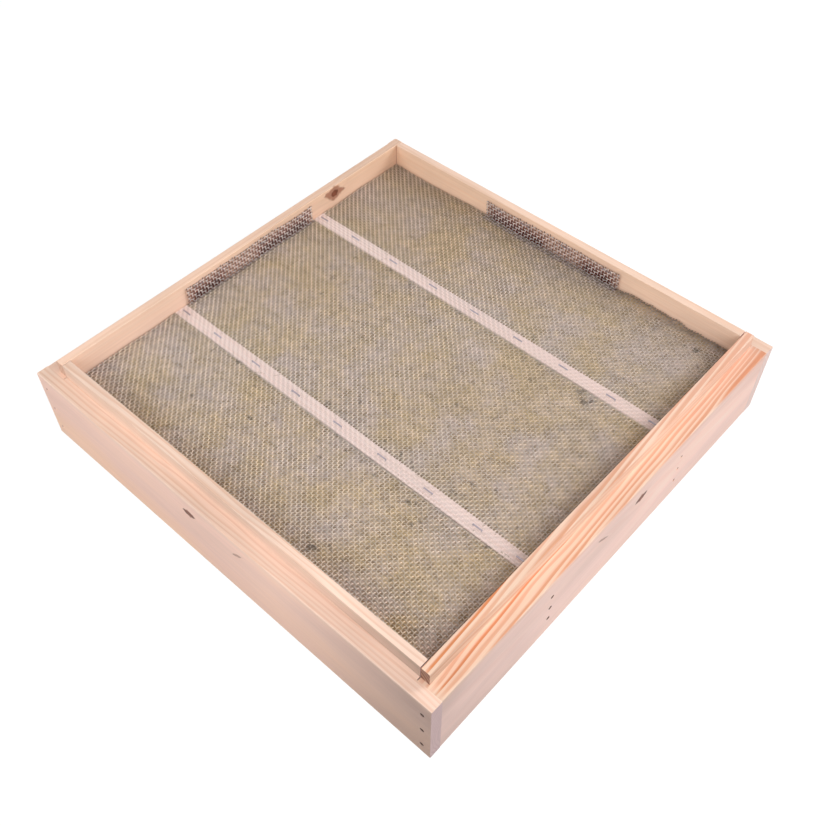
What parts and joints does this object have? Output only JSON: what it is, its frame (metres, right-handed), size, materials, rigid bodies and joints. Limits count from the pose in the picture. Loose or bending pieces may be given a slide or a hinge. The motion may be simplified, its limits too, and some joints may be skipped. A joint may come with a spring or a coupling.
{
  "type": "hive cover",
  "caption": "Square pine hive cover with a stepped rim, shown hive side up: wool insulation in joisted bays under a woven wire screen, with screened wall vents.",
  "frame": {"origin": "middle of the roof's outer face, on which the cover lies with its hive side up", "axes": "+Z out of the open hive side, +X from the left (vented) board to the right board, +Y from the front board to the back (vented) board"},
  "size_m": [0.5, 0.5, 0.105],
  "materials": {
    "pine": "planed, unfinished",
    "plywood": "sanded, unfinished",
    "wool": "loose fibre",
    "wire": "woven, zinc coated",
    "nail_steel": "bare, darkened",
    "staple_steel": "zinc coated"
  },
  "bodies": {
    "root": {"front_board": "pine", "back_board": "pine", "left_board": "pine", "right_board": "pine", "roof_panel": "plywood", "front_joist": "pine", "back_joist": "pine", "front_insulation": "wool", "middle_insulation": "wool", "back_insulation": "wool", "wire_screen": "wire", "left_vent_strip": "wire", "back_vent_strip": "wire", "corner_nails": "nail_steel", "joist_nails": "nail_steel", "roof_nails": "nail_steel", "front_joist_staples": "staple_steel", "back_joist_staples": "staple_steel", "left_strip_staples": "staple_steel", "back_strip_staples": "staple_steel"}
  },
  "joints": []
}
